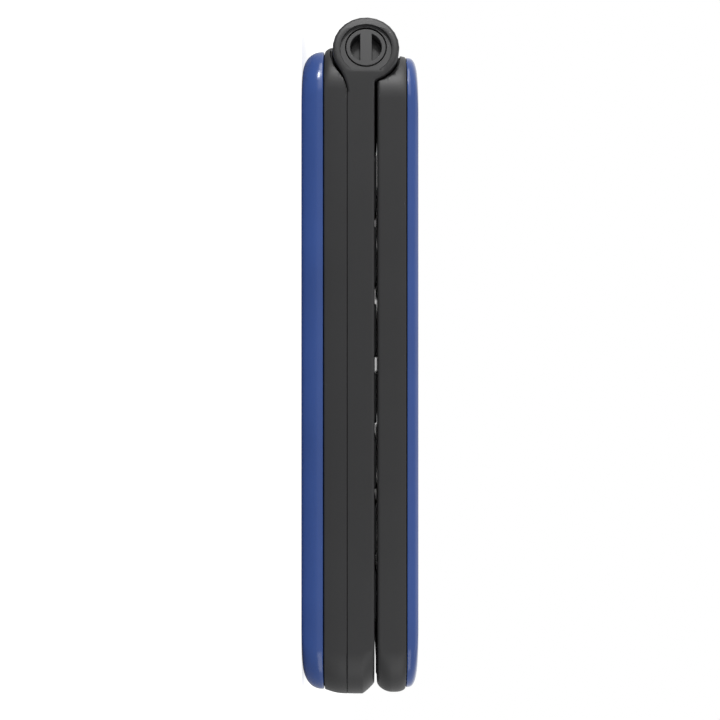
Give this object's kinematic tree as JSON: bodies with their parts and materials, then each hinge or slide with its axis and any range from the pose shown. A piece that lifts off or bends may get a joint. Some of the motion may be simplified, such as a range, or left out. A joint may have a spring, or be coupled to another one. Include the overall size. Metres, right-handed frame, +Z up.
{
  "type": "flip phone",
  "caption": "Closed clamshell mobile phone with a friction lid hinge, blue covers, grey housings, sprung keypad keys, a tilting navigation ring and a side volume rocker.",
  "frame": {"origin": "middle of the flat back of the rear cover, on the surface the closed phone lies on", "axes": "+Z up through the thickness from the rear cover to the lid's outer cover, +Y from the keypad end to the hinge end, +X to the user's right"},
  "size_m": [0.0534, 0.107, 0.0182],
  "materials": {
    "blue_abs": "moulded polycarbonate and ABS in deep blue, satin gloss",
    "grey_pc": "moulded dark grey glass-filled polycarbonate, fine sparked texture",
    "key_pc": "black moulded polycarbonate key tops, satin",
    "silicone": "moulded silicone keypad mat",
    "bumper_rubber": "black rubber",
    "nylon": "natural acetal",
    "pcb": "green solder mask on glass-epoxy board",
    "steel": "stamped and turned stainless steel",
    "battery_film": "dark plastic film over a lithium-ion pouch",
    "module_black": "black moulded module housing",
    "lens_glass": "black-bordered acrylic window, polished",
    "polyimide": "amber polyimide flex film"
  },
  "bodies": {
    "base": {"rear_cover": "blue_abs", "base_rear_housing": "grey_pc", "base_front_housing": "grey_pc", "battery": "battery_film", "main_board": "pcb", "sim_socket": "steel", "charging_port": "steel", "loudspeaker": "module_black", "vibration_motor": "steel", "microphone": "steel", "dome_sheet": "steel", "keypad_mat": "silicone", "base_screw_left": "steel", "base_screw_right": "steel", "hinge_cap_left": "grey_pc", "hinge_cap_right": "grey_pc", "hinge_shaft": "steel", "hinge_bush": "nylon", "flex_cable": "polyimide"},
    "lid": {"lid_inner_housing": "grey_pc", "lid_outer_cover": "blue_abs", "main_display_lens": "lens_glass", "main_display": "module_black", "lid_board": "pcb", "outer_display": "module_black", "outer_display_lens": "lens_glass", "camera_module": "module_black", "camera_window": "lens_glass", "earpiece": "steel", "lid_magnet": "steel", "lid_screw_left": "steel", "lid_screw_right": "steel", "bumper_left": "bumper_rubber", "bumper_right": "bumper_rubber", "hinge_cartridge": "steel", "hinge_follower": "steel", "hinge_spring": "steel"},
    "send_key": {"send_key": "key_pc"},
    "clear_key": {"clear_key": "key_pc"},
    "end_key": {"end_key": "key_pc"},
    "key_1": {"key_1": "key_pc"},
    "key_2": {"key_2": "key_pc"},
    "key_3": {"key_3": "key_pc"},
    "key_4": {"key_4": "key_pc"},
    "key_5": {"key_5": "key_pc"},
    "key_6": {"key_6": "key_pc"},
    "key_7": {"key_7": "key_pc"},
    "key_8": {"key_8": "key_pc"},
    "key_9": {"key_9": "key_pc"},
    "key_star": {"key_star": "key_pc"},
    "key_0": {"key_0": "key_pc"},
    "key_hash": {"key_hash": "key_pc"},
    "soft_key_left": {"soft_key_left": "key_pc"},
    "soft_key_right": {"soft_key_right": "key_pc"},
    "message_key": {"message_key": "key_pc"},
    "speaker_key": {"speaker_key": "key_pc"},
    "nav_gimbal": {"nav_gimbal": "nylon"},
    "nav_ring": {"nav_ring": "key_pc"},
    "ok_key": {"ok_key": "key_pc"},
    "volume_rocker": {"volume_rocker": "key_pc"}
  },
  "joints": [
    {"name": "lid_hinge", "type": "hinge", "parent": "base", "child": "lid", "pos_m": [0, 0.0483, 0.01003], "axis": [-1, 0, 0], "range_deg": [0, 155], "deforming": ["flex_cable"]},
    {"name": "send_key_press", "type": "slide", "parent": "base", "child": "send_key", "axis": [0, 0, -1], "range_m": [0, 0.00035], "stiffness_N_per_m": 2500, "springref_m": -0.0001},
    {"name": "clear_key_press", "type": "slide", "parent": "base", "child": "clear_key", "axis": [0, 0, -1], "range_m": [0, 0.00035], "stiffness_N_per_m": 2500, "springref_m": -0.0001},
    {"name": "end_key_press", "type": "slide", "parent": "base", "child": "end_key", "axis": [0, 0, -1], "range_m": [0, 0.00035], "stiffness_N_per_m": 2500, "springref_m": -0.0001},
    {"name": "key_1_press", "type": "slide", "parent": "base", "child": "key_1", "axis": [0, 0, -1], "range_m": [0, 0.00035], "stiffness_N_per_m": 2500, "springref_m": -0.0001},
    {"name": "key_2_press", "type": "slide", "parent": "base", "child": "key_2", "axis": [0, 0, -1], "range_m": [0, 0.00035], "stiffness_N_per_m": 2500, "springref_m": -0.0001},
    {"name": "key_3_press", "type": "slide", "parent": "base", "child": "key_3", "axis": [0, 0, -1], "range_m": [0, 0.00035], "stiffness_N_per_m": 2500, "springref_m": -0.0001},
    {"name": "key_4_press", "type": "slide", "parent": "base", "child": "key_4", "axis": [0, 0, -1], "range_m": [0, 0.00035], "stiffness_N_per_m": 2500, "springref_m": -0.0001},
    {"name": "key_5_press", "type": "slide", "parent": "base", "child": "key_5", "axis": [0, 0, -1], "range_m": [0, 0.00035], "stiffness_N_per_m": 2500, "springref_m": -0.0001},
    {"name": "key_6_press", "type": "slide", "parent": "base", "child": "key_6", "axis": [0, 0, -1], "range_m": [0, 0.00035], "stiffness_N_per_m": 2500, "springref_m": -0.0001},
    {"name": "key_7_press", "type": "slide", "parent": "base", "child": "key_7", "axis": [0, 0, -1], "range_m": [0, 0.00035], "stiffness_N_per_m": 2500, "springref_m": -0.0001},
    {"name": "key_8_press", "type": "slide", "parent": "base", "child": "key_8", "axis": [0, 0, -1], "range_m": [0, 0.00035], "stiffness_N_per_m": 2500, "springref_m": -0.0001},
    {"name": "key_9_press", "type": "slide", "parent": "base", "child": "key_9", "axis": [0, 0, -1], "range_m": [0, 0.00035], "stiffness_N_per_m": 2500, "springref_m": -0.0001},
    {"name": "key_star_press", "type": "slide", "parent": "base", "child": "key_star", "axis": [0, 0, -1], "range_m": [0, 0.00035], "stiffness_N_per_m": 2500, "springref_m": -0.0001},
    {"name": "key_0_press", "type": "slide", "parent": "base", "child": "key_0", "axis": [0, 0, -1], "range_m": [0, 0.00035], "stiffness_N_per_m": 2500, "springref_m": -0.0001},
    {"name": "key_hash_press", "type": "slide", "parent": "base", "child": "key_hash", "axis": [0, 0, -1], "range_m": [0, 0.00035], "stiffness_N_per_m": 2500, "springref_m": -0.0001},
    {"name": "soft_key_left_press", "type": "slide", "parent": "base", "child": "soft_key_left", "axis": [0, 0, -1], "range_m": [0, 0.00035], "stiffness_N_per_m": 2500, "springref_m": -0.0001},
    {"name": "soft_key_right_press", "type": "slide", "parent": "base", "child": "soft_key_right", "axis": [0, 0, -1], "range_m": [0, 0.00035], "stiffness_N_per_m": 2500, "springref_m": -0.0001},
    {"name": "message_key_press", "type": "slide", "parent": "base", "child": "message_key", "axis": [0, 0, -1], "range_m": [0, 0.00035], "stiffness_N_per_m": 2500, "springref_m": -0.0001},
    {"name": "speaker_key_press", "type": "slide", "parent": "base", "child": "speaker_key", "axis": [0, 0, -1], "range_m": [0, 0.00035], "stiffness_N_per_m": 2500, "springref_m": -0.0001},
    {"name": "ok_key_press", "type": "slide", "parent": "base", "child": "ok_key", "axis": [0, 0, -1], "range_m": [0, 0.00035], "stiffness_N_per_m": 2500, "springref_m": -0.0001},
    {"name": "nav_tilt_up_down", "type": "hinge", "parent": "base", "child": "nav_gimbal", "pos_m": [0, 0.02205, 0.01008], "axis": [1, 0, 0], "range_deg": [-1.2, 1.2], "stiffness_Nm_per_rad": 0.3},
    {"name": "nav_tilt_left_right", "type": "hinge", "parent": "nav_gimbal", "child": "nav_ring", "pos_m": [0, 0.02205, 0.01008], "axis": [0, 1, 0], "range_deg": [-1.2, 1.2], "stiffness_Nm_per_rad": 0.3},
    {"name": "volume_rocker_tilt", "type": "hinge", "parent": "base", "child": "volume_rocker", "pos_m": [0.0246, 0.0265, 0.0092], "axis": [0, 0, 1], "range_deg": [-2.5, 2.5], "stiffness_Nm_per_rad": 0.1}
  ]
}
